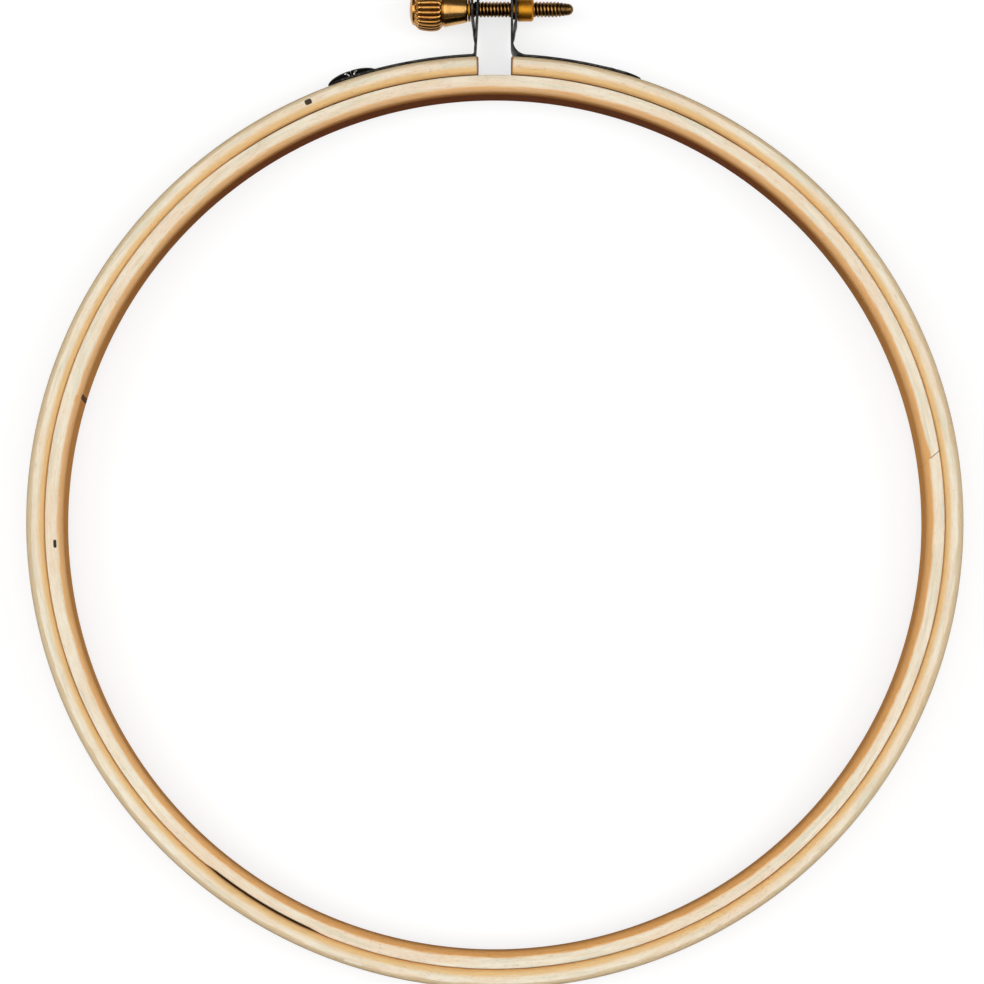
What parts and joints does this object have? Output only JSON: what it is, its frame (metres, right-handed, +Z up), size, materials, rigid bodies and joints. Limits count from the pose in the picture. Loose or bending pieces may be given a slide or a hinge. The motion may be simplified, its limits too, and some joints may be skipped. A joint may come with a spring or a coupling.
{
  "type": "embroidery hoop",
  "caption": "Round wooden embroidery hoop: an inner ring held inside a split outer ring, which a brass thumbscrew through folded steel ears draws tight round the fabric.",
  "frame": {"origin": "below the middle of the whole object's box, on the surface that the hoop lies on", "axes": "+Z up through the rings, +Y from the rings' centre towards the screw clamp, +X to the right with the thumbscrew's knob on the -X side"},
  "size_m": [0.2032, 0.2196, 0.0105],
  "materials": {
    "outer_wood": "bare pale wood, sanded smooth, with fine grain along the ring",
    "inner_wood": "bare pale wood, sanded smooth, with a slightly warmer tone",
    "strap_steel": "dark rolled steel strip, satin",
    "fastener_steel": "dark steel, satin",
    "brass": "turned brass, bright, with fine tool marks"
  },
  "bodies": {
    "outer_frame": {"outer_ring": "outer_wood", "right_bracket": "strap_steel", "right_rivet": "fastener_steel", "right_tack": "fastener_steel", "barrel_nut": "brass"},
    "left_clamp": {"left_bracket": "strap_steel", "left_rivet": "fastener_steel", "left_tack": "fastener_steel"},
    "screw_seat": {"washer": "brass"},
    "screw": {"thumbscrew": "brass"},
    "inner_hoop": {"inner_ring": "inner_wood"}
  },
  "joints": [
    {"name": "screw_travel", "type": "slide", "parent": "outer_frame", "child": "screw_seat", "axis": [-1, 0, 0], "range_m": [0, 0.00397]},
    {"name": "screw_turn", "type": "hinge", "parent": "screw_seat", "child": "screw", "pos_m": [0, 0.10493, 0.00525], "axis": [-1, 0, 0], "range_deg": [0, 1800]},
    {"name": "ring_spring", "type": "hinge", "parent": "outer_frame", "child": "left_clamp", "pos_m": [0, -0.1077, 0.00525], "axis": [0, 0, 1], "range_deg": [0, 1.08], "deforming": ["outer_ring"]},
    {"name": "inner_ring_lift", "type": "slide", "parent": "outer_frame", "child": "inner_hoop", "axis": [0, 0, 1], "range_m": [0, 0.025]}
  ],
  "couplings": [
    {"joint": "screw_turn", "follows": "screw_travel", "rad_per_m": 7915.8},
    {"joint": "ring_spring", "follows": "screw_travel", "rad_per_m": 4.7031}
  ]
}
